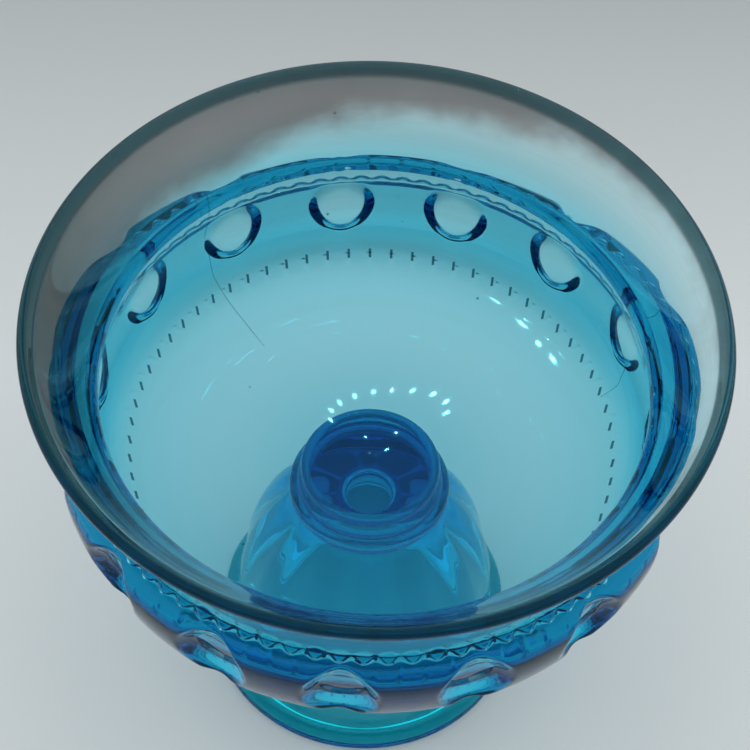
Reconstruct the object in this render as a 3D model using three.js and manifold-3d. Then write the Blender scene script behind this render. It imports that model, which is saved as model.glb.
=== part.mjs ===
// Footed glass bowl with a flared collar, a band of thumbprints round its
// shoulder, and a hollow bell foot that joins it through a knop and a wafer.
//
// Millimetres, +Z up. The origin is the centre of the ring the foot rests on.
// The four pieces are stacked up the Z axis and touch on flat, level seats.
import * as THREE from 'three';
import { mergeVertices } from 'three/addons/utils/BufferGeometryUtils.js';
import Module from 'manifold-3d';

// Foot: a bell with panelled sides, open underneath.
const footHeight = 63;
const footRadius = 43.5;
const footEdgeRound = 1.2;
const footNeckRadius = 19;
const flangeWidth = 4.5;
const flangeHeight = 5;
const restingRingWidth = 5;
const hollowRoof = 5.5;
const hollowTip = 9;
const hollowTipHeight = 5;
const panelCount = 12;
const panelOversize = 1.02;

// Knop: the ringed swelling at the top of the foot.
const knopHeight = 12;
const knopSwell = 2.8;
const knopRingDepth = 1.6;
const knopSeatInset = 3;

// Wafer: the disc of glass that joins the bowl to the knop.
const waferHeight = 4;
const waferSwell = 1.2;

// Bowl, with heights measured up from the flat seat under it.
const bowlHeight = 64;
const rimRadius = 92;
const lipRound = 1.6;
const neckHeight = 42.6;
const neckRadius = 72.5;
const neckWall = 5.8;
const beadReach = 7.1;
const beadSize = 1.1;
const shoulderReach = 12.3;
const shoulderTop = 31;
const shoulderWidest = 24.4;
const shoulderBottom = 7;
const undersideInset = 4;
const undersideHeight = 5.4;
const bellySwell = 2.3;
const bellyHeight = 25;
const floorInset = 10.5;
const floorEdgeHeight = 11.6;
const floorWall = 5;
const bowlSeatRadius = 18;

// Thumbprints: ovals pressed into the outside of the shoulder.
const printCount = 15;
const printWidth = 20.6;
const printHeight = 25;
const printMiddle = 18.2;
const printDepth = 4.4;
const printToolReach = 14;
const flankInset = 1.1;

const bowlSides = 60;
const footSides = 48;

const knopSeat = footHeight;
const waferSeat = knopSeat + knopHeight;
const bowlSeat = waferSeat + waferHeight;
const knopRadius = footNeckRadius + knopSwell;
const knopSeatRadius = footNeckRadius - knopSeatInset;
const waferRadius = Math.max(bowlSeatRadius, knopSeatRadius) + waferSwell;
const shoulderRadius = neckRadius + shoulderReach;
const floorEdgeRadius = neckRadius - floorInset;

const wasm = await Module();
wasm.setup();

// Spins an outline of (radius, height) points about the Z axis.
function turned(outline, sides) {
  const geometry = new THREE.LatheGeometry(outline, sides);
  geometry.rotateX(Math.PI / 2);
  return geometry;
}

function toSolid(geometry) {
  const bare = geometry.clone();
  bare.deleteAttribute('normal');
  bare.deleteAttribute('uv');
  const merged = mergeVertices(bare, 1e-4);
  const corners = merged.index.array;
  const triVerts = [];
  for (let i = 0; i < corners.length; i += 3) {
    const [a, b, c] = corners.slice(i, i + 3);
    if (a !== b && b !== c && c !== a) {
      triVerts.push(a, b, c);
    }
  }
  return new wasm.Manifold(new wasm.Mesh({
    numProp: 3,
    vertProperties: new Float32Array(merged.attributes.position.array),
    triVerts: new Uint32Array(triVerts),
  }));
}

function toGeometry(solid) {
  const mesh = solid.getMesh();
  const geometry = new THREE.BufferGeometry();
  geometry.setAttribute('position', new THREE.BufferAttribute(mesh.vertProperties, 3));
  geometry.setIndex(new THREE.BufferAttribute(mesh.triVerts, 1));
  geometry.computeVertexNormals();
  return geometry;
}

// Section of the bowl from the middle of its seat, out under the floor, round
// the shoulder, up the collar, over the lip, and back down inside to the axis.
function bowlOutline() {
  const bead = neckRadius + beadReach;
  const belly = neckRadius + bellySwell;
  const undersideEdge = neckRadius - undersideInset;
  const neckOutside = neckRadius + neckWall;
  const lipCentre = new THREE.Vector2(rimRadius - lipRound, bowlHeight - lipRound);
  const collarRise = bowlHeight - neckHeight;
  const collarFlare = rimRadius - neckRadius;

  const path = new THREE.Path();
  path.moveTo(0, 0);
  path.lineTo(bowlSeatRadius, 0);
  path.quadraticCurveTo(
    0.62 * undersideEdge, 0.85 * undersideHeight,
    undersideEdge, undersideHeight,
  );
  path.bezierCurveTo(
    undersideEdge + 4, undersideHeight - 0.4,
    shoulderRadius - 6.4, shoulderBottom - 2.6,
    shoulderRadius - 4.4, shoulderBottom,
  );
  path.bezierCurveTo(
    shoulderRadius - 2.6, shoulderBottom + 3.6,
    shoulderRadius, shoulderWidest - 6,
    shoulderRadius, shoulderWidest,
  );
  path.bezierCurveTo(
    shoulderRadius, shoulderWidest + 3.8,
    shoulderRadius - 2.2, shoulderTop - 0.6,
    bead, shoulderTop,
  );
  path.lineTo(bead + beadSize, shoulderTop + beadSize);
  path.lineTo(bead, shoulderTop + 2 * beadSize);
  path.lineTo(neckOutside, shoulderTop + 3 * beadSize);
  path.lineTo(neckOutside, neckHeight - 2);
  path.quadraticCurveTo(
    neckOutside + 0.3 * collarFlare, neckHeight + 0.4 * collarRise,
    rimRadius - 0.3, bowlHeight - lipRound - 1.2,
  );
  path.absarc(lipCentre.x, lipCentre.y, lipRound, 0, Math.PI * 0.8, false);
  path.quadraticCurveTo(
    neckRadius + 0.3 * collarFlare, neckHeight + 0.45 * collarRise,
    neckRadius, neckHeight,
  );
  path.bezierCurveTo(
    neckRadius, neckHeight - 7,
    belly, bellyHeight + 6,
    belly, bellyHeight,
  );
  path.bezierCurveTo(
    belly, bellyHeight - 6.5,
    belly - 4.9, floorEdgeHeight + 1.6,
    floorEdgeRadius, floorEdgeHeight,
  );
  path.bezierCurveTo(
    0.78 * floorEdgeRadius, 0.84 * floorEdgeHeight,
    0.4 * floorEdgeRadius, floorWall,
    0, floorWall,
  );
  return path.getPoints(4);
}

// One thumbprint tool: an ellipsoid sunk printDepth into the shoulder.
function printTool(angle) {
  const sunk = (printToolReach - printDepth) / printToolReach;
  const spread = Math.sqrt(1 - sunk * sunk);
  const tool = new THREE.SphereGeometry(1, 16, 10);
  tool.scale(printToolReach, printWidth / 2 / spread, printHeight / 2 / spread);
  tool.translate(shoulderRadius - flankInset - printDepth + printToolReach, 0, printMiddle);
  tool.rotateZ(angle);
  return toSolid(tool);
}

function bowlGeometry() {
  let bowl = toSolid(turned(bowlOutline(), bowlSides));
  for (let i = 0; i < printCount; i += 1) {
    bowl = bowl.subtract(printTool((2 * Math.PI * i) / printCount));
  }
  return toGeometry(bowl);
}

// A short disc with a rounded edge.
function waferGeometry() {
  const path = new THREE.Path();
  path.moveTo(0, 0);
  path.lineTo(knopSeatRadius, 0);
  path.quadraticCurveTo(waferRadius, 0, waferRadius, waferHeight / 2);
  path.quadraticCurveTo(waferRadius, waferHeight, bowlSeatRadius - 1, waferHeight);
  path.lineTo(0, waferHeight);
  return turned(path.getPoints(3), footSides);
}

// Three rounded rings, the middle one the widest.
function knopGeometry() {
  const ringHeight = knopHeight / 3;
  const waist = knopRadius - knopRingDepth;
  const path = new THREE.Path();
  path.moveTo(0, 0);
  path.lineTo(knopSeatRadius, 0);
  path.quadraticCurveTo(waist, 0, waist - 0.5, ringHeight * 0.9);
  path.quadraticCurveTo(knopRadius + 0.5, ringHeight, knopRadius, ringHeight * 1.5);
  path.quadraticCurveTo(knopRadius + 0.5, ringHeight * 2, waist - 0.5, ringHeight * 2.1);
  path.quadraticCurveTo(waist, knopHeight, knopSeatRadius, knopHeight);
  path.lineTo(0, knopHeight);
  return turned(path.getPoints(3), footSides);
}

// The outside curve of the bell, from the top of its flange up to its neck.
function bellCurve(scale) {
  const foot = footRadius - flangeWidth;
  const rise = footHeight - flangeHeight;
  const spread = foot - footNeckRadius;
  return new THREE.CubicBezierCurve(
    new THREE.Vector2(scale * foot, flangeHeight),
    new THREE.Vector2(scale * (foot - 0.03 * spread), flangeHeight + 0.42 * rise),
    new THREE.Vector2(scale * (footNeckRadius + 0.5 * spread), footHeight - 0.1 * rise),
    new THREE.Vector2(scale * footNeckRadius, footHeight),
  );
}

function footOutline() {
  const ringInside = footRadius - footEdgeRound - restingRingWidth;
  const hollowTop = footHeight - hollowRoof;
  const tipBottom = hollowTop - hollowTipHeight;
  const tip = new THREE.CubicBezierCurve(
    new THREE.Vector2(0, hollowTop),
    new THREE.Vector2(0.5 * hollowTip, hollowTop),
    new THREE.Vector2(0.93 * hollowTip, hollowTop),
    new THREE.Vector2(hollowTip, tipBottom),
  );
  const bell = new THREE.CubicBezierCurve(
    new THREE.Vector2(hollowTip, tipBottom),
    new THREE.Vector2(1.25 * hollowTip, tipBottom - 1.8 * hollowTipHeight),
    new THREE.Vector2(0.86 * ringInside, 0.5 * hollowTop),
    new THREE.Vector2(ringInside, 0),
  );
  const flangeTop = flangeHeight - footEdgeRound;
  return [
    ...tip.getPoints(5),
    ...bell.getPoints(9).slice(1),
    new THREE.Vector2(footRadius - footEdgeRound, 0),
    new THREE.Vector2(footRadius, footEdgeRound),
    new THREE.Vector2(footRadius, flangeTop - footEdgeRound),
    new THREE.Vector2(footRadius - footEdgeRound, flangeTop),
    ...bellCurve(1).getPoints(10),
    new THREE.Vector2(0, footHeight),
  ];
}

// Flat-sided shape that trims the bell into panels and clears its round flange.
function panelTool() {
  const clear = 2 * footRadius;
  return toSolid(turned([
    new THREE.Vector2(0, -1),
    new THREE.Vector2(clear, -1),
    new THREE.Vector2(clear, flangeHeight + 0.5),
    ...bellCurve(panelOversize).getPoints(10).slice(1),
    new THREE.Vector2(panelOversize * footNeckRadius, footHeight + 1),
    new THREE.Vector2(0, footHeight + 1),
  ], panelCount));
}

function footGeometry() {
  const bell = toSolid(turned(footOutline(), footSides));
  return toGeometry(bell.intersect(panelTool()));
}

const bowlGlass = new THREE.MeshStandardMaterial({ color: 0x6fb4c2, roughness: 0.06, metalness: 0 });
const stemGlass = new THREE.MeshStandardMaterial({ color: 0x0c6f92, roughness: 0.06, metalness: 0 });

const group = new THREE.Group();

function place(name, geometry, material, height) {
  const mesh = new THREE.Mesh(geometry, material);
  mesh.name = name;
  mesh.position.z = height;
  group.add(mesh);
}

place('foot', footGeometry(), stemGlass, 0);
place('knop', knopGeometry(), stemGlass, knopSeat);
place('wafer', waferGeometry(), stemGlass, waferSeat);
place('bowl', bowlGeometry(), bowlGlass, bowlSeat);

export default group;
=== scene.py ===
"""Footed pressed-glass bowl: its glass pieces, their finishes, the table, the light and the camera."""

import logging
import math
from dataclasses import dataclass, field
from enum import Enum
from typing import Callable, Sequence

import bpy
from mathutils import Matrix, Vector

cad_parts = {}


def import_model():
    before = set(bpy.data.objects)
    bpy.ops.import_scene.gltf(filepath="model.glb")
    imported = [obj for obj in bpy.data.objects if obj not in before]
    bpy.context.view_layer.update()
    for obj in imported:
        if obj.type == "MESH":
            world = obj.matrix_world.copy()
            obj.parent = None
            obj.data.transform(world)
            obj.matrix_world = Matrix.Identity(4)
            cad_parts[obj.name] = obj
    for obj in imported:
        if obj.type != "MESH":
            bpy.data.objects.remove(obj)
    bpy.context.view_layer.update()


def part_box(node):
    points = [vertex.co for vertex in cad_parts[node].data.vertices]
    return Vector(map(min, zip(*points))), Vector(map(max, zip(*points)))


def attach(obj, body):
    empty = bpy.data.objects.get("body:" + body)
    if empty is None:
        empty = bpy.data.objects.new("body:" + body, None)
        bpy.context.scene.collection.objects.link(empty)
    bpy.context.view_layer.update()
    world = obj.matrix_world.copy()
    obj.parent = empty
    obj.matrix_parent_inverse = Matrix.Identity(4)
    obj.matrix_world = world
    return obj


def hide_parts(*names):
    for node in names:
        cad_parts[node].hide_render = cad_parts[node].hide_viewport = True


LOG = logging.getLogger("glass_bowl")
MM = 0.001
SEAT_GAP = 0.05 * MM
SEAT_STEP = 3.0 * MM
STEM_STEP = 0.3 * MM

Point = tuple[float, float]
Colour = tuple[float, float, float, float]

# The hairline scratches inside the bowl, as straight stretches seen from above.
HAIRLINES: tuple[tuple[Point, Point], ...] = (
    ((-0.0462, 0.0588), (-0.0453, 0.0586)),
    ((-0.0453, 0.0586), (-0.0439, 0.0543)),
    ((-0.0439, 0.0543), (-0.0376, 0.0451)),
    ((-0.0376, 0.0451), (-0.0294, 0.0343)),
    ((0.0697, 0.0228), (0.0672, 0.0181)),
    ((0.0672, 0.0181), (0.0626, 0.0159)),
)


class Side(Enum):
    """Which face of the glass a stretch of outline belongs to."""

    SEAT = "seat"
    OUTSIDE = "outside"
    LIP = "lip"
    NOTCHED = "notched"
    INSIDE = "inside"


@dataclass
class Outline:
    """A section through turned glass, as points of radius and height that know their side."""

    points: list[Point] = field(default_factory=list)
    sides: list[Side] = field(default_factory=list)

    def start(self, at: Point, side: Side) -> None:
        """Puts down the first point."""
        self.points = [at]
        self.sides = [side]

    def line(self, to: Point, side: Side, step: float) -> None:
        """Adds a straight stretch.

        Args:
            to: the point where the stretch ends.
            side: the face of the glass that the stretch is on.
            step: the usual distance between points, in metres.
        """
        here = Vector(self.points[-1])
        there = Vector(to)
        count = max(1, round((there - here).length / step))
        for i in range(1, count + 1):
            at = here.lerp(there, i / count)
            self.points.append((at.x, at.y))
            self.sides.append(side)

    def curve(self, near: Point, far: Point, to: Point, side: Side, step: float) -> None:
        """Adds a cubic curve.

        Args:
            near: the handle beside the last point.
            far: the handle beside the end.
            to: the point where the curve ends.
            side: the face of the glass that the curve is on.
            step: the usual distance between points, in metres.
        """
        a, b, c, d = (Vector(p) for p in (self.points[-1], near, far, to))
        length = (b - a).length + (c - b).length + (d - c).length
        count = max(2, round(0.9 * length / step))
        for i in range(1, count + 1):
            t = i / count
            s = 1.0 - t
            at = s * s * s * a + 3 * s * s * t * b + 3 * s * t * t * c + t * t * t * d
            self.points.append((at.x, at.y))
            self.sides.append(side)

    def arc(self, centre: Point, radius: float, turn: Point, side: Side, count: int) -> None:
        """Adds an arc about a centre.

        Args:
            centre: the middle of the arc.
            radius: the arc's radius.
            turn: the angles where the arc starts and ends, in degrees.
            side: the face of the glass that the arc is on.
            count: how many points the arc gets.
        """
        for i in range(count + 1):
            angle = math.radians(turn[0] + (turn[1] - turn[0]) * i / count)
            at = (centre[0] + radius * math.cos(angle), centre[1] + radius * math.sin(angle))
            self.points.append(at)
            self.sides.append(side)


Shaper = Callable[[float, float, float, Side], Point]


def plain(radius: float, height: float, angle: float, side: Side) -> Point:
    """Leaves a point where the outline has it."""
    return radius, height


def turn_glass(name: str, outline: Outline, around: int, shape: Shaper = plain) -> bpy.types.Object:
    """Spins an outline about the upright axis into a closed, smooth glass body.

    Args:
        name: the new piece's name.
        outline: the section, starting and ending on the axis.
        around: how many columns of faces go round.
        shape: moves each point from the plain turned surface to the pressed one.

    Returns:
        The new object, linked to the scene.
    """
    rows = outline.points[1:-1]
    sides = outline.sides[1:-1]
    verts: list[tuple[float, float, float]] = []
    for j in range(around):
        angle = 2.0 * math.pi * j / around
        for (radius, height), side in zip(rows, sides):
            r, z = shape(radius, height, angle, side)
            verts.append((r * math.cos(angle), r * math.sin(angle), z))
    low = len(verts)
    verts.append((0.0, 0.0, outline.points[0][1]))
    verts.append((0.0, 0.0, outline.points[-1][1]))
    count = len(rows)
    faces: list[tuple[int, ...]] = []
    for j in range(around):
        a = j * count
        b = ((j + 1) % around) * count
        faces.append((low, b, a))
        faces.extend((a + i, b + i, b + i + 1, a + i + 1) for i in range(count - 1))
        faces.append((low + 1, a + count - 1, b + count - 1))
    mesh = bpy.data.meshes.new(name)
    mesh.from_pydata(verts, [], faces)
    mesh.validate()
    mesh.shade_smooth()
    piece = bpy.data.objects.new(name, mesh)
    bpy.context.scene.collection.objects.link(piece)
    return piece


class Wiring:
    """Short ways to add and join shader nodes in one material."""

    def __init__(self, name: str) -> None:
        """Makes an empty node material of that name."""
        self.material = bpy.data.materials.new(name)
        self.material.use_nodes = True
        self.tree = self.material.node_tree
        self.tree.nodes.clear()
        self.out = self.tree.nodes.new("ShaderNodeOutputMaterial")

    def node(self, kind: str, **settings: object) -> bpy.types.Node:
        """Adds a node.

        Args:
            kind: the node's type name, without its ShaderNode prefix.
            settings: the node's own properties.

        Returns:
            The new node.
        """
        made = self.tree.nodes.new("ShaderNode" + kind)
        for key, value in settings.items():
            setattr(made, key, value)
        return made

    def feed(self, value: object, socket: bpy.types.NodeSocket) -> None:
        """Links a socket, or sets a plain value, into an input."""
        if isinstance(value, bpy.types.NodeSocket):
            self.tree.links.new(value, socket)
        else:
            socket.default_value = value

    def math(self, operation: str, *values: object, clamp: bool = False) -> bpy.types.NodeSocket:
        """Adds one step of arithmetic.

        Args:
            operation: the name of the step.
            values: its inputs, as sockets or numbers.
            clamp: keeps the result between 0 and 1.

        Returns:
            The socket with the result.
        """
        step = self.node("Math", operation=operation, use_clamp=clamp)
        for value, socket in zip(values, step.inputs):
            self.feed(value, socket)
        return step.outputs[0]

    def ramp(self, value: object, low: float, high: float, smooth: bool = True) -> bpy.types.NodeSocket:
        """Turns a value into 0 at low and 1 at high.

        Args:
            value: the socket to read.
            low: the value that gives 0.
            high: the value that gives 1.
            smooth: eases both ends.

        Returns:
            The socket with the result.
        """
        kind = "SMOOTHSTEP" if smooth else "LINEAR"
        span = self.node("MapRange", interpolation_type=kind, clamp=True)
        for number, socket in zip((value, low, high, 0.0, 1.0), span.inputs):
            self.feed(number, socket)
        return span.outputs[0]

    def noise(
        self, where: object, scale: float, detail: float = 3.0, rough: float = 0.55,
    ) -> bpy.types.NodeSocket:
        """Adds soft noise.

        Args:
            where: the coordinates, as a socket.
            scale: how many lumps fit in a metre.
            detail: how many finer layers are added.
            rough: how strong those layers are.

        Returns:
            The socket with the noise, from 0 to 1.
        """
        cloud = self.node("TexNoise")
        self.feed(where, cloud.inputs["Vector"])
        cloud.inputs["Scale"].default_value = scale
        cloud.inputs["Detail"].default_value = detail
        cloud.inputs["Roughness"].default_value = rough
        return cloud.outputs["Fac"]

    def mix(self, share: object, first: object, second: object) -> bpy.types.NodeSocket:
        """Mixes two colours.

        Args:
            share: how much of the second is used.
            first: the colour at 0.
            second: the colour at 1.

        Returns:
            The socket with the mixed colour.
        """
        blend = self.node("Mix", data_type="RGBA", blend_type="MIX")
        self.feed(share, blend.inputs[0])
        self.feed(first, blend.inputs[6])
        self.feed(second, blend.inputs[7])
        return blend.outputs[2]

    def place(self) -> tuple[bpy.types.NodeSocket, ...]:
        """Gives the point on the piece.

        Returns:
            The point, and its X, Y and Z, in metres.
        """
        where = self.node("TexCoord").outputs["Object"]
        parts = self.node("SeparateXYZ")
        self.feed(where, parts.inputs[0])
        return (where, *parts.outputs)


@dataclass(frozen=True)
class BlueGlass:
    """Clear blue pressed glass: what it lets through, how it bends light and how worn it is.

    The film's two levels, the rim's and the floor's are heights in the frame.
    """

    name: str
    tint: tuple[float, float, float] = (0.0, 0.785, 0.90)
    strength: float = 185.0
    bend: float = 1.51
    polish: float = 0.012
    ripple: float = 0.00012
    sheen: tuple[float, float, float] = (0.15, 0.80, 1.0)
    speck: Colour = (0.10, 0.14, 0.15, 1.0)
    specks_per_metre: float = 95.0
    speck_share: float = 0.20
    smoke_brown: Colour = (0.45, 0.31, 0.29, 1.0)
    smoke_rose: Colour = (0.58, 0.43, 0.41, 1.0)
    smoke_heavy: Colour = (0.16, 0.14, 0.13, 1.0)
    heavy_from: float = -62.0 * MM
    heavy_full: float = -118.0 * MM
    # Dark colour for the lip band: painted shade for the dark edge that the thick glass shows at the rim.
    lip: Colour = (0.02, 0.04, 0.045, 1.0)
    lip_depth: Point = (3.2 * MM, 1.6 * MM)
    # Dark colour shared by the real hairline scratches and by the painted shade of the notch strokes.
    scratch_and_shade_colour: Colour = (0.02, 0.05, 0.07, 1.0)
    film_base: float = 0.0
    film_top: float = 1.0
    filmed: bool = False
    rim_level: float = 0.0
    floor_level: float = 0.0
    # The notch strokes set out below are painted shade, not marks on the glass.
    dash_count: int = 68
    dash_radius: float = 65.0 * MM
    dash_half_width: float = 0.36 * MM
    dash_half_length: float = 1.25 * MM
    dash_lean: float = 0.28
    hairlines: tuple[tuple[Point, Point], ...] = ()
    hairline_half_width: float = 0.13 * MM
    welds: tuple[float, ...] = ()
    weld_radius: float = 17.0 * MM

    def make(self) -> bpy.types.Material:
        """Builds the material.

        Returns:
            The finished material.
        """
        w = Wiring(self.name)
        where, x, y, z = w.place()
        shader = w.node("BsdfPrincipled")
        shader.inputs["Transmission Weight"].default_value = 1.0
        shader.inputs["IOR"].default_value = self.bend
        shader.inputs["Specular Tint"].default_value = (*self.sheen, 1.0)

        colour: object = (1.0, 1.0, 1.0, 1.0)
        wear = w.ramp(w.noise(where, 900.0, 2.0), 0.66, 0.75)
        rough = w.math("MULTIPLY_ADD", w.noise(where, 60.0, 4.0), 0.02, self.polish)
        rough = w.math("MULTIPLY_ADD", wear, 0.03, rough)
        if self.filmed:
            film = self.film_share(w, where, x, z)
            smoke = w.mix(w.noise(where, 35.0, 3.0), self.smoke_brown, self.smoke_rose)
            uneven = w.math("MULTIPLY_ADD", w.noise(where, 18.0, 3.0), -0.04, x)
            heavy = w.ramp(uneven, self.heavy_from, self.heavy_full)
            smoke = w.mix(heavy, smoke, self.smoke_heavy)
            colour = w.mix(film, colour, smoke)
            rough = w.math("MULTIPLY_ADD", film, 0.015, rough)
            # Painted shade: a dark band painted along the lip, where the rim's edge looks dark.
            start, full = (self.rim_level - depth for depth in self.lip_depth)
            lip = w.math("MULTIPLY", w.ramp(z, start, full), 0.97)
            colour = w.mix(lip, colour, self.lip)
            # The notch strokes are painted shade and the hairlines are real scratches; both take the same
            # dark colour.
            scratches_and_notch_shade = w.math("MAXIMUM", self.painted_notch_shade(w, x, y, z), self.scratches(w, where, z))
            colour = w.mix(scratches_and_notch_shade, colour, self.scratch_and_shade_colour)
        colour = w.mix(self.seeds(w, where), colour, self.speck)
        w.feed(colour, shader.inputs["Base Color"])
        if self.welds:
            outer = self.outside_welds(w, x, y, z)
            rough = w.math("MULTIPLY", rough, outer)
            w.feed(w.math("MULTIPLY_ADD", outer, self.bend - 1.0, 1.0), shader.inputs["IOR"])
        w.feed(rough, shader.inputs["Roughness"])

        height = w.math("MULTIPLY", w.noise(where, 22.0, 2.0), self.ripple)
        bump = w.node("Bump")
        bump.inputs["Strength"].default_value = 1.0
        bump.inputs["Distance"].default_value = 1.0
        w.feed(height, bump.inputs["Height"])
        w.feed(bump.outputs[0], shader.inputs["Normal"])
        w.feed(shader.outputs[0], w.out.inputs["Surface"])

        body = w.node("VolumeAbsorption")
        body.inputs["Color"].default_value = (*self.tint, 1.0)
        body.inputs["Density"].default_value = self.strength
        w.feed(body.outputs[0], w.out.inputs["Volume"])
        return w.material

    def film_share(self, w: Wiring, where: object, x: object, z: object) -> bpy.types.NodeSocket:
        """Says how much of the smoky film lies at each point of the collar.

        Args:
            w: the material being built.
            where: the point.
            x: its X.
            z: its Z.

        Returns:
            0 where the glass is bare and 1 where the film is full.
        """
        stretched = w.node("Mapping")
        w.feed(where, stretched.inputs["Vector"])
        stretched.inputs["Scale"].default_value = (1.0, 1.0, 2.2)
        ragged = w.math("SUBTRACT", w.noise(stretched.outputs[0], 30.0, 4.0, 0.6), 0.5)
        level = w.math("MULTIPLY_ADD", ragged, 0.016, z)
        left = w.math("MULTIPLY_ADD", x, -0.11, level)
        return w.ramp(left, self.film_base, self.film_top)

    def painted_notch_shade(self, w: Wiring, x: object, y: object, z: object) -> bpy.types.NodeSocket:
        """Paints the short dark strokes round the edge of the floor, as painted shade for the dark edges
        of the notches there.

        Args:
            w: the material being built.
            x: the point's X.
            y: the point's Y.
            z: the point's Z.

        Returns:
            1 on a stroke and 0 elsewhere.
        """
        pitch = 2.0 * math.pi / self.dash_count
        turn = w.math("MULTIPLY", w.math("ROUND", w.math("DIVIDE", w.math("ARCTAN2", y, x), pitch)), pitch)
        across = w.math("SUBTRACT", x, w.math("MULTIPLY", w.math("COSINE", turn), self.dash_radius))
        along = w.math("SUBTRACT", y, w.math("MULTIPLY", w.math("SINE", turn), self.dash_radius))
        lean = w.math("MULTIPLY", w.math("COSINE", turn), along)
        leaning = w.math("MULTIPLY_ADD", lean, -self.dash_lean, across)
        thin = w.math("LESS_THAN", w.math("ABSOLUTE", leaning), self.dash_half_width)
        short = w.math("LESS_THAN", w.math("ABSOLUTE", along), self.dash_half_length)
        above = w.math("GREATER_THAN", z, self.floor_level)
        return w.math("MULTIPLY", w.math("MULTIPLY", thin, short), above)

    def scratches(self, w: Wiring, where: object, z: object) -> bpy.types.NodeSocket:
        """Draws the hairline scratches inside the bowl.

        Args:
            w: the material being built.
            where: the point.
            z: its Z.

        Returns:
            1 on a scratch and 0 elsewhere.
        """
        total: object = 0.0
        for start, end in self.hairlines:
            span = Vector(end) - Vector(start)
            flat = w.node("Mapping", vector_type="TEXTURE")
            flat.inputs["Location"].default_value = (*(0.5 * (Vector(start) + Vector(end))), 0.0)
            flat.inputs["Rotation"].default_value = (0.0, 0.0, math.atan2(span.y, span.x))
            w.feed(where, flat.inputs["Vector"])
            parts = w.node("SeparateXYZ")
            w.feed(flat.outputs[0], parts.inputs[0])
            within = w.math("LESS_THAN", w.math("ABSOLUTE", parts.outputs[0]), 0.5 * span.length)
            close = w.math("LESS_THAN", w.math("ABSOLUTE", parts.outputs[1]), self.hairline_half_width)
            total = w.math("MAXIMUM", total, w.math("MULTIPLY", within, close))
        above = w.math("GREATER_THAN", z, self.floor_level)
        return w.math("MULTIPLY", w.math("MULTIPLY", total, 0.75), above)

    def outside_welds(self, w: Wiring, x: object, y: object, z: object) -> bpy.types.NodeSocket:
        """Finds the flat seats where two gathers of glass are fused, so that nothing shows there.

        Args:
            w: the material being built.
            x: the point's X.
            y: the point's Y.
            z: the point's Z.

        Returns:
            0 on a fused seat and 1 on the open surface.
        """
        square = w.math("ADD", w.math("MULTIPLY", x, x), w.math("MULTIPLY", y, y))
        within = w.math("LESS_THAN", square, (self.weld_radius + 0.02 * MM) ** 2)
        fused: object = 0.0
        for level in self.welds:
            close = w.math("COMPARE", z, level, 0.12 * MM)
            fused = w.math("MAXIMUM", fused, close)
        return w.math("SUBTRACT", 1.0, w.math("MULTIPLY", fused, within))

    def seeds(self, w: Wiring, where: object) -> bpy.types.NodeSocket:
        """Scatters tiny dark seeds and specks of grime.

        Args:
            w: the material being built.
            where: the point.

        Returns:
            1 on a speck and 0 elsewhere.
        """
        cells = w.node("TexVoronoi", feature="F1", distance="EUCLIDEAN")
        w.feed(where, cells.inputs["Vector"])
        cells.inputs["Scale"].default_value = self.specks_per_metre
        near = w.math("SUBTRACT", 1.0, w.ramp(cells.outputs["Distance"], 0.03, 0.06))
        pick = w.node("SeparateColor")
        w.feed(cells.outputs["Color"], pick.inputs[0])
        chosen = w.math("GREATER_THAN", pick.outputs[0], 1.0 - self.speck_share)
        return w.math("MULTIPLY", near, chosen)


@dataclass(frozen=True)
class TableTop:
    """A pale matt surface, with painted shade darkening it towards the back and a painted pool of light,
    brightest under the bowl.
    """

    name: str = "pale_table"
    near: Colour = (0.91, 0.91, 0.90, 1.0)
    # Colour at the far back: painted shade, since less light falls there.
    far: Colour = (0.47, 0.50, 0.50, 1.0)
    # Painted light: a brighter pool on the table under the bowl, standing in for light passing through the
    # glass.
    painted_light_under_bowl: Colour = (0.92, 0.93, 0.93, 1.0)
    fade: Point = (0.10, 0.29)
    bright_middle: float = 0.068
    bright_edge: Point = (0.088, 0.060)

    def make(self) -> bpy.types.Material:
        """Builds the material.

        Returns:
            The finished material.
        """
        w = Wiring(self.name)
        where, _, y, _ = w.place()
        shader = w.node("BsdfPrincipled")
        shader.inputs["Roughness"].default_value = 0.7
        shader.inputs["Specular IOR Level"].default_value = 0.2
        uneven = w.math("MULTIPLY_ADD", w.noise(where, 3.0, 2.0), 0.02, y)
        # Painted shade: the table darkens towards the back.
        back = w.ramp(uneven, *self.fade, smooth=False)
        colour = w.mix(back, self.near, self.far)
        # Painted light: a bright pool centred under and behind the bowl.
        centred = w.node("Mapping")
        centred.inputs["Location"].default_value = (0.0, -self.bright_middle, 0.0)
        w.feed(where, centred.inputs["Vector"])
        length = w.node("VectorMath", operation="LENGTH")
        w.feed(centred.outputs[0], length.inputs[0])
        under = w.ramp(length.outputs["Value"], *self.bright_edge)
        w.feed(w.mix(under, colour, self.painted_light_under_bowl), shader.inputs["Base Color"])
        w.feed(shader.outputs[0], w.out.inputs["Surface"])
        return w.material


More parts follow.
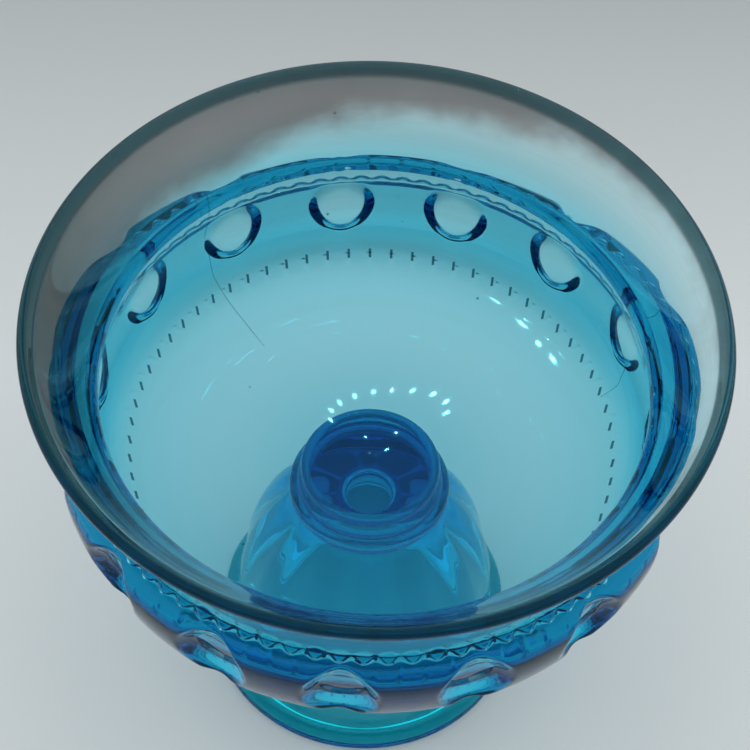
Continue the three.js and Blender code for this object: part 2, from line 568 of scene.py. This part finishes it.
@dataclass
class Bowl:
    """The pressed bowl: collar, bead ring, thumbprinted shoulder, notched ring and floor."""

    seat_height: float
    rim_height: float
    rim_radius: float
    lip_round: float = 1.6 * MM
    neck_height: float = 42.6 * MM
    neck_radius: float = 72.5 * MM
    neck_wall: float = 5.8 * MM
    neck_outside_height: float = 39.5 * MM
    belly_radius: float = 74.8 * MM
    belly_height: float = 25.0 * MM
    shoulder_radius: float = 84.8 * MM
    shoulder_bottom: float = 7.0 * MM
    shoulder_widest: float = 24.4 * MM
    shoulder_top: float = 31.0 * MM
    bead_radius: float = 79.6 * MM
    underside_edge: float = 68.5 * MM
    underside_height: float = 5.4 * MM
    floor_edge_radius: float = 62.0 * MM
    floor_edge_height: float = 11.6 * MM
    floor_wall: float = 5.0 * MM
    seat_radius: float = 17.0 * MM
    print_count: int = 15
    print_half_width: float = 10.3 * MM
    print_half_height: float = 12.6 * MM
    print_middle: float = 18.2 * MM
    print_depth: float = 5.0 * MM
    print_wall: float = 0.34
    notch_count: int = 68
    notch_depth: float = 0.15 * MM
    notch_sharpness: int = 6
    tooth_count: int = 82
    tooth_size: float = 0.7 * MM
    around: int = 820

    def outline(self) -> Outline:
        """Draws the bowl's section.

        Returns:
            The section, from the middle of the seat round to the middle of the floor.
        """
        base = self.seat_height

        def at(radius: float, height: float) -> Point:
            """Puts a height measured from the seat into the frame."""
            return radius, base + height

        top = self.rim_height - base
        rise = top - self.neck_height
        flare = self.rim_radius - self.neck_radius
        outside = self.neck_radius + self.neck_wall
        shoulder = self.shoulder_radius
        lip = self.lip_round
        o = Outline()
        o.start(at(0.0, SEAT_GAP), Side.SEAT)
        o.line(at(self.seat_radius, SEAT_GAP), Side.SEAT, SEAT_STEP)
        edge = self.underside_edge
        low = self.underside_height
        bottom = self.shoulder_bottom
        o.curve(
            at(24.0 * MM, 0.3 * MM), at(0.62 * edge, 0.97 * low),
            at(edge - 2.0 * MM, low), Side.OUTSIDE, 1.6 * MM,
        )
        o.line(at(edge + 1.0 * MM, low - 0.1 * MM), Side.NOTCHED, 0.5 * MM)
        o.curve(
            at(edge + 4.0 * MM, low - 0.2 * MM), at(shoulder - 6.4 * MM, bottom - 2.6 * MM),
            at(shoulder - 4.4 * MM, bottom), Side.OUTSIDE, 0.45 * MM,
        )
        o.curve(
            at(shoulder - 2.6 * MM, bottom + 3.6 * MM), at(shoulder, self.shoulder_widest - 6.0 * MM),
            at(shoulder, self.shoulder_widest), Side.OUTSIDE, 0.45 * MM,
        )
        o.curve(
            at(shoulder, self.shoulder_widest + 3.8 * MM),
            at(shoulder - 2.2 * MM, self.shoulder_top - 0.6 * MM),
            at(self.bead_radius, self.shoulder_top), Side.OUTSIDE, 0.4 * MM,
        )
        o.curve(
            at(self.bead_radius + 1.4 * MM, self.shoulder_top + 0.2 * MM),
            at(self.bead_radius + 1.4 * MM, self.shoulder_top + 1.8 * MM),
            at(self.bead_radius - 0.4 * MM, self.shoulder_top + 2.2 * MM), Side.OUTSIDE, 0.35 * MM,
        )
        o.curve(
            at(outside + 0.1 * MM, self.shoulder_top + 2.7 * MM),
            at(outside, self.neck_outside_height - 2.0 * MM),
            at(outside, self.neck_outside_height), Side.OUTSIDE, 0.7 * MM,
        )
        o.curve(
            at(outside + 0.11 * flare, self.neck_height + 0.20 * rise),
            at(outside + 0.32 * flare, self.neck_height + 0.68 * rise),
            at(self.rim_radius - 0.2 * MM, top - lip - 0.9 * MM), Side.OUTSIDE, 0.9 * MM,
        )
        o.arc(at(self.rim_radius - lip, top - lip), lip, (-8.0, 140.0), Side.LIP, 12)
        o.line(at(self.rim_radius - 4.2 * MM, top - 2.0 * MM), Side.LIP, 0.5 * MM)
        o.line(at(self.rim_radius - 4.5 * MM, top - 2.9 * MM), Side.LIP, 0.25 * MM)
        o.curve(
            at(self.neck_radius + 0.62 * flare, self.neck_height + 0.68 * rise),
            at(self.neck_radius + 0.2 * flare, self.neck_height + 0.26 * rise),
            at(self.neck_radius + 0.4 * MM, self.neck_height + 0.5 * MM), Side.INSIDE, 0.9 * MM,
        )
        o.curve(
            at(self.neck_radius - 0.2 * MM, self.neck_height - 0.6 * MM),
            at(self.neck_radius - 0.2 * MM, self.neck_height - 1.6 * MM),
            at(self.neck_radius - 0.35 * MM, self.neck_height - 2.6 * MM), Side.INSIDE, 0.5 * MM,
        )
        o.curve(
            at(self.neck_radius + 0.4 * MM, self.neck_height - 6.6 * MM),
            at(self.belly_radius, self.belly_height + 5.5 * MM),
            at(self.belly_radius, self.belly_height), Side.INSIDE, 0.9 * MM,
        )
        floor = self.floor_edge_radius
        o.curve(
            at(self.belly_radius, self.belly_height - 6.5 * MM),
            at(self.belly_radius - 4.9 * MM, self.floor_edge_height + 1.6 * MM),
            at(floor, self.floor_edge_height), Side.INSIDE, 0.7 * MM,
        )
        o.curve(
            at(0.78 * floor, 0.84 * self.floor_edge_height), at(0.4 * floor, self.floor_wall + 0.4 * MM),
            at(0.0, self.floor_wall), Side.INSIDE, 1.8 * MM,
        )
        return o

    def pressed(self, radius: float, height: float, angle: float, side: Side) -> Point:
        """Presses the thumbprints and the bead's teeth into the plain turned outside.

        Args:
            radius: the plain surface's radius.
            height: its height.
            angle: where it lies round the axis.
            side: the face of the glass that it is on.

        Returns:
            The pressed point's radius and height.
        """
        if side is Side.NOTCHED:
            wave = max(0.0, math.cos(self.notch_count * angle)) ** self.notch_sharpness
            return radius, height + self.notch_depth * wave
        if side is not Side.OUTSIDE:
            return radius, height
        up = height - self.seat_height
        pitch = 2.0 * math.pi / self.print_count
        off = (angle + 0.5 * pitch) % pitch - 0.5 * pitch
        u = self.shoulder_radius * off / self.print_half_width
        v = (up - self.print_middle) / self.print_half_height
        inside = (1.0 - math.hypot(u, v)) / self.print_wall
        if inside > -0.3 and radius > self.belly_radius + 0.5 * MM:
            eased = 0.5 * (inside + math.sqrt(inside * inside + 0.01))
            eased = eased / (1.0 + eased ** 5) ** 0.2
            radius -= self.print_depth * eased * (0.95 - 0.1 * v)
        bead = 1.0 - ((up - self.shoulder_top - 1.3 * MM) / (1.5 * MM)) ** 2
        if bead > 0.0:
            radius += self.tooth_size * bead * math.cos(self.tooth_count * angle)
        return radius, height

    def build(self) -> bpy.types.Object:
        """Makes the bowl and dresses it.

        Returns:
            The bowl's piece.
        """
        piece = turn_glass("bowl_glass", self.outline(), self.around, self.pressed)
        glass = BlueGlass(
            name="bowl_blue_glass",
            filmed=True,
            film_base=self.rim_height - 15.0 * MM,
            film_top=self.rim_height - 8.0 * MM,
            rim_level=self.rim_height,
            floor_level=self.seat_height + 7.5 * MM,
            hairlines=HAIRLINES,
            welds=(self.seat_height,),
        )
        piece.data.materials.append(glass.make())
        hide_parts("bowl")
        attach(piece, "root")
        return piece


@dataclass
class Stem:
    """The wafer and the knop, one on the other between the foot and the bowl."""

    knop_seat: float
    wafer_seat: float
    bowl_seat: float
    knop_radius: float
    wafer_radius: float
    seat_radius: float = 16.0 * MM
    bowl_seat_radius: float = 17.0 * MM
    ring_depth: float = 2.1 * MM
    around: int = 192

    def wafer_outline(self) -> Outline:
        """Draws the wafer's rounded edge.

        Returns:
            The wafer's section.
        """
        low, high = self.wafer_seat + SEAT_GAP, self.bowl_seat - SEAT_GAP
        middle = 0.5 * (low + high)
        r = self.wafer_radius
        o = Outline()
        o.start((0.0, low), Side.SEAT)
        o.line((self.seat_radius, low), Side.SEAT, SEAT_STEP)
        o.curve((r - 0.6 * MM, low), (r, low + 0.9 * MM), (r, middle), Side.OUTSIDE, STEM_STEP)
        top = (self.bowl_seat_radius, high)
        o.curve((r, high - 0.9 * MM), (r - 0.2 * MM, high), top, Side.OUTSIDE, STEM_STEP)
        o.line((0.0, high), Side.SEAT, SEAT_STEP)
        return o

    def knop_outline(self) -> Outline:
        """Draws the knop's three rings.

        Returns:
            The knop's section.
        """
        low, high = self.knop_seat + SEAT_GAP, self.wafer_seat - SEAT_GAP
        ring = (high - low) / 3.0
        r = self.knop_radius
        waist = r - self.ring_depth
        swell = 0.4 * MM
        stretches = (
            ((waist, low), (waist + swell, low + 0.5 * ring), (waist, low + 0.9 * ring)),
            ((r - swell, low + ring), (r, low + 1.2 * ring), (r, low + 1.5 * ring)),
            ((r, low + 1.8 * ring), (r - swell, low + 2.0 * ring), (waist, low + 2.1 * ring)),
            ((waist + swell, low + 2.5 * ring), (waist, high), (self.seat_radius, high)),
        )
        o = Outline()
        o.start((0.0, low), Side.SEAT)
        o.line((self.seat_radius, low), Side.SEAT, SEAT_STEP)
        for near, far, to in stretches:
            o.curve(near, far, to, Side.OUTSIDE, STEM_STEP)
        o.line((0.0, high), Side.SEAT, SEAT_STEP)
        return o

    def build(self) -> list[bpy.types.Object]:
        """Makes both pieces and dresses them.

        Returns:
            The wafer and the knop.
        """
        made = []
        welds = (self.knop_seat, self.wafer_seat, self.bowl_seat)
        tint = (0.0, 0.88, 0.948)
        glass = BlueGlass(name="stem_blue_glass", tint=tint, strength=400.0, welds=welds).make()
        for node, outline in (("wafer", self.wafer_outline()), ("knop", self.knop_outline())):
            piece = turn_glass(node + "_glass", outline, self.around)
            piece.data.materials.append(glass)
            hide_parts(node)
            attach(piece, "root")
            made.append(piece)
        return made


@dataclass
class Foot:
    """The hollow bell foot, with a flange that rests on the table."""

    top: float
    radius: float
    edge_round: float = 1.2 * MM
    neck_radius: float = 19.0 * MM
    flange_width: float = 4.5 * MM
    flange_height: float = 5.0 * MM
    ring_width: float = 5.0 * MM
    roof: float = 5.5 * MM
    hollow_tip: float = 9.0 * MM
    hollow_tip_height: float = 5.0 * MM
    panel_count: int = 12
    panel_depth: float = 0.8 * MM
    panel_fade: Point = (6.0 * MM, 4.0 * MM)
    around: int = 288

    def outline(self) -> Outline:
        """Draws the foot's section.

        Returns:
            The section, from the top of the hollow round to the middle of the neck.
        """
        inside = self.radius - self.edge_round - self.ring_width
        hollow = self.top - self.roof
        foot = self.radius - self.flange_width
        rise = self.top - self.flange_height
        spread = foot - self.neck_radius
        e = self.edge_round
        o = Outline()
        tip = self.hollow_tip
        under = hollow - self.hollow_tip_height
        o.start((0.0, hollow), Side.INSIDE)
        o.curve((0.5 * tip, hollow), (0.93 * tip, hollow), (tip, under), Side.INSIDE, 0.5 * MM)
        o.curve(
            (1.25 * tip, under - 1.8 * self.hollow_tip_height), (0.86 * inside, 0.5 * hollow),
            (inside, 0.4 * MM), Side.INSIDE, 1.0 * MM,
        )
        o.line((inside + 0.4 * MM, 0.0), Side.SEAT, 0.3 * MM)
        o.line((self.radius - e, 0.0), Side.SEAT, 1.2 * MM)
        o.arc((self.radius - e, e), e, (-90.0, 0.0), Side.OUTSIDE, 6)
        o.line((self.radius, self.flange_height - 2.0 * e), Side.OUTSIDE, 0.5 * MM)
        o.arc((self.radius - e, self.flange_height - 2.0 * e), e, (0.0, 70.0), Side.OUTSIDE, 6)
        o.curve(
            (foot + 1.5 * MM, self.flange_height - 0.6 * MM), (foot + 0.2 * MM, self.flange_height),
            (foot, self.flange_height + 1.5 * MM), Side.OUTSIDE, 0.4 * MM,
        )
        o.curve(
            (foot - 0.03 * spread, self.flange_height + 0.42 * rise),
            (self.neck_radius + 0.5 * spread, self.top - 0.1 * rise),
            (self.neck_radius, self.top - SEAT_GAP), Side.OUTSIDE, 1.0 * MM,
        )
        o.line((0.0, self.top - SEAT_GAP), Side.SEAT, SEAT_STEP)
        return o

    def panelled(self, radius: float, height: float, angle: float, side: Side) -> Point:
        """Flattens the bell's outside into shallow panels.

        Args:
            radius: the plain surface's radius.
            height: its height.
            angle: where it lies round the axis.
            side: the face of the glass that it is on.

        Returns:
            The panelled point's radius and height.
        """
        if side is not Side.OUTSIDE or height < self.flange_height:
            return radius, height
        from_flange = (height - self.flange_height) / self.panel_fade[0]
        from_top = (self.top - height) / self.panel_fade[1]
        fade = min(1.0, from_flange, from_top)
        crest = abs(math.cos(0.5 * self.panel_count * angle))
        return radius - self.panel_depth * fade * (1.0 - crest ** 3) ** 2, height

    def build(self) -> bpy.types.Object:
        """Makes the foot and dresses it.

        Returns:
            The foot's piece.
        """
        piece = turn_glass("foot_glass", self.outline(), self.around, self.panelled)
        tint = (0.0, 0.93, 0.975)
        glass = BlueGlass(name="foot_blue_glass", tint=tint, strength=400.0, welds=(self.top,))
        piece.data.materials.append(glass.make())
        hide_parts("foot")
        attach(piece, "root")
        return piece


@dataclass
class Studio:
    """The table, the soft lights and the camera."""

    rim_height: float
    rim_radius: float
    long_lens: float = 144.0
    look_down: float = 53.87
    lean: float = 2.92
    turn: float = -2.8
    back: float = 5.02
    above: float = 6.65
    table_reach: float = 3.0
    bounces: int = 32
    glossy_bounces: int = 16
    sky_facing: tuple[float, float, float] = (0.0, 0.62, 0.79)
    sky: tuple[tuple[float, Colour], ...] = (
        (0.0, (0.50, 0.51, 0.52, 1.0)),
        (0.30, (0.97, 0.98, 0.98, 1.0)),
        (0.80, (0.70, 0.76, 0.79, 1.0)),
    )
    lamp_height: float = 0.95
    lamp_size: Point = (4.5 * MM, 4.5 * MM)
    lamp_power: float = 0.006
    near_lamps: tuple[Point, ...] = (
        (-0.02, 0.51), (-0.015, 0.555), (0.01, 0.58), (0.035, 0.555), (0.04, 0.51),
    )
    far_lamps: int = 10
    far_middle: Point = (0.01, 0.49)
    far_size: Point = (0.08, 0.06)

    def table(self) -> bpy.types.Object:
        """Lays the pale table top.

        Returns:
            The table top.
        """
        mesh = bpy.data.meshes.new("table_top")
        reach = self.table_reach
        corners = [(-reach, -reach, 0.0), (reach, -reach, 0.0), (reach, reach, 0.0), (-reach, reach, 0.0)]
        mesh.from_pydata(corners, [], [(0, 1, 2, 3)])
        top = bpy.data.objects.new("table_top", mesh)
        bpy.context.scene.collection.objects.link(top)
        top.location.z = -0.0002
        top.data.materials.append(TableTop().make())
        return top

    def surroundings(self) -> None:
        """Sets the soft light of a pale room, darker high up at the back and towards the viewer."""
        world = bpy.data.worlds.new("pale_room")
        world.use_nodes = True
        nodes, links = world.node_tree.nodes, world.node_tree.links
        nodes.clear()
        out = nodes.new("ShaderNodeOutputWorld")
        glow = nodes.new("ShaderNodeBackground")
        where = nodes.new("ShaderNodeTexCoord")
        spot = nodes.new("ShaderNodeVectorMath")
        spot.operation = "DOT_PRODUCT"
        spot.inputs[1].default_value = Vector(self.sky_facing).normalized()
        ramp = nodes.new("ShaderNodeValToRGB")
        links.new(where.outputs["Generated"], spot.inputs[0])
        links.new(spot.outputs["Value"], ramp.inputs[0])
        links.new(ramp.outputs[0], glow.inputs["Color"])
        links.new(glow.outputs[0], out.inputs["Surface"])
        ramp.color_ramp.interpolation = "EASE"
        stops = ramp.color_ramp.elements
        stops.remove(stops[-1])
        first, *others = self.sky
        stops[0].position, stops[0].color = first
        for position, colour in others:
            stops.new(position).color = colour
        glow.inputs["Strength"].default_value = 1.0
        bpy.context.scene.world = world
        bpy.context.scene.view_settings.view_transform = "Standard"

    def depth_of_light(self) -> None:
        """Lets light bounce often enough to find its way out of thick glass."""
        cycles = bpy.context.scene.cycles
        cycles.max_bounces = self.bounces
        cycles.glossy_bounces = self.glossy_bounces
        cycles.transmission_bounces = self.bounces

    def lamp(
        self, name: str, at: Sequence[float], size: Point, power: float, aim: Sequence[float],
    ) -> bpy.types.Object:
        """Hangs one small panel of light.

        Args:
            name: the light's name.
            at: where it hangs.
            size: its width and height.
            power: its strength in watts.
            aim: the point that it faces.

        Returns:
            The light.
        """
        data = bpy.data.lights.new(name, "AREA")
        data.shape = "RECTANGLE"
        data.size, data.size_y = size
        data.energy = power
        light = bpy.data.objects.new(name, data)
        bpy.context.scene.collection.objects.link(light)
        light.location = at
        light.rotation_euler = (Vector(aim) - Vector(at)).to_track_quat("-Z", "Y").to_euler()
        return light

    def camera(self) -> bpy.types.Object:
        """Stands the camera above and in front of the bowl, looking down into it.

        Returns:
            The camera.
        """
        data = bpy.data.cameras.new("camera")
        data.sensor_width = 36.0
        data.lens = self.long_lens
        data.clip_start = 0.01
        camera = bpy.data.objects.new("camera", data)
        bpy.context.scene.collection.objects.link(camera)
        e, r = math.radians(self.look_down), math.radians(self.lean)
        forward = Vector((0.0, math.cos(e), -math.sin(e)))
        right = Vector((1.0, 0.0, 0.0))
        up = right.cross(forward)
        across = math.cos(r) * right + math.sin(r) * up
        rise = math.cos(r) * up - math.sin(r) * right
        place = Matrix((across, rise, -forward)).transposed().to_4x4()
        height = self.rim_height + self.above * self.rim_radius
        place.translation = Vector((0.0, -self.back * self.rim_radius, height))
        camera.matrix_world = Matrix.Rotation(math.radians(self.turn), 4, "Z") @ place
        bpy.context.scene.camera = camera
        return camera

    def build(self) -> None:
        """Sets out the whole studio."""
        self.table()
        self.surroundings()
        self.depth_of_light()
        middle = (0.0, 0.0, 0.1)
        spots = list(self.near_lamps)
        for i in range(self.far_lamps):
            turn = math.pi * i / (self.far_lamps - 1)
            across = self.far_middle[0] + self.far_size[0] * math.cos(turn)
            spots.append((across, self.far_middle[1] - self.far_size[1] * math.sin(turn)))
        for i, spot in enumerate(spots):
            place = (*spot, self.lamp_height)
            self.lamp(f"bead_lamp_{i}", place, self.lamp_size, self.lamp_power, middle)
        self.camera()


def main() -> None:
    """Builds the frame, every glass piece and the studio, in order."""
    logging.basicConfig(level=logging.INFO, format="%(name)s: %(message)s")
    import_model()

    foot_low, foot_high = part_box("foot")
    knop_low, knop_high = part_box("knop")
    wafer_low, wafer_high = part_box("wafer")
    bowl_low, bowl_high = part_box("bowl")

    studio = Studio(rim_height=bowl_high[2], rim_radius=bowl_high[0])
    studio.build()
    LOG.info("studio set out")

    foot = Foot(top=foot_high[2], radius=foot_high[0]).build()
    LOG.info("%s: %d faces", foot.name, len(foot.data.polygons))
    stem = Stem(
        knop_seat=knop_low[2],
        wafer_seat=wafer_low[2],
        bowl_seat=bowl_low[2],
        knop_radius=knop_high[0],
        wafer_radius=wafer_high[0],
    )
    for piece in stem.build():
        LOG.info("%s: %d faces", piece.name, len(piece.data.polygons))
    bowl = Bowl(seat_height=bowl_low[2], rim_height=bowl_high[2], rim_radius=bowl_high[0]).build()
    LOG.info("%s: %d faces", bowl.name, len(bowl.data.polygons))


if __name__ == "__main__":
    main()
